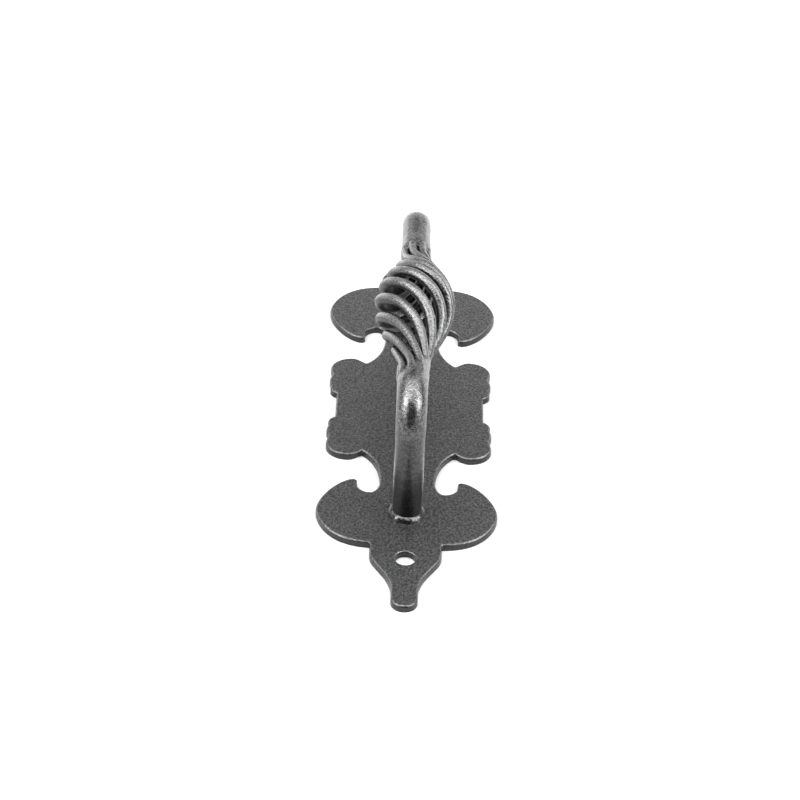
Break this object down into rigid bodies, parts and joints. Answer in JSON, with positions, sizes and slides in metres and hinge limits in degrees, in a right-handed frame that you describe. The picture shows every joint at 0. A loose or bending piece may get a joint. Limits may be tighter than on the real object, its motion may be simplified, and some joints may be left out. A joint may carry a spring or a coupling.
{
  "type": "pull handle",
  "caption": "Wrought-iron pull handle: a round bar bow with a basket-twist grip on a long ornamental cut-out backplate with a screw hole at each end.",
  "frame": {"origin": "middle of the backplate, on the face that lies on the door", "axes": "+X across the plate, +Y along the plate towards the upper end, +Z out of the door towards the hand"},
  "size_m": [0.0732, 0.256, 0.0729],
  "materials": {
    "graphite_paint": "dark graphite powder coat with a fine metallic speckle, satin"
  },
  "bodies": {
    "root": {"backplate": "graphite_paint", "lower_leg": "graphite_paint", "upper_leg": "graphite_paint", "lower_collar": "graphite_paint", "upper_collar": "graphite_paint", "lower_foot_weld": "graphite_paint", "upper_foot_weld": "graphite_paint", "basket_rod_1": "graphite_paint", "basket_rod_2": "graphite_paint", "basket_rod_3": "graphite_paint", "basket_rod_4": "graphite_paint", "basket_rod_5": "graphite_paint", "basket_rod_6": "graphite_paint", "basket_rod_7": "graphite_paint", "basket_rod_8": "graphite_paint"}
  },
  "joints": []
}
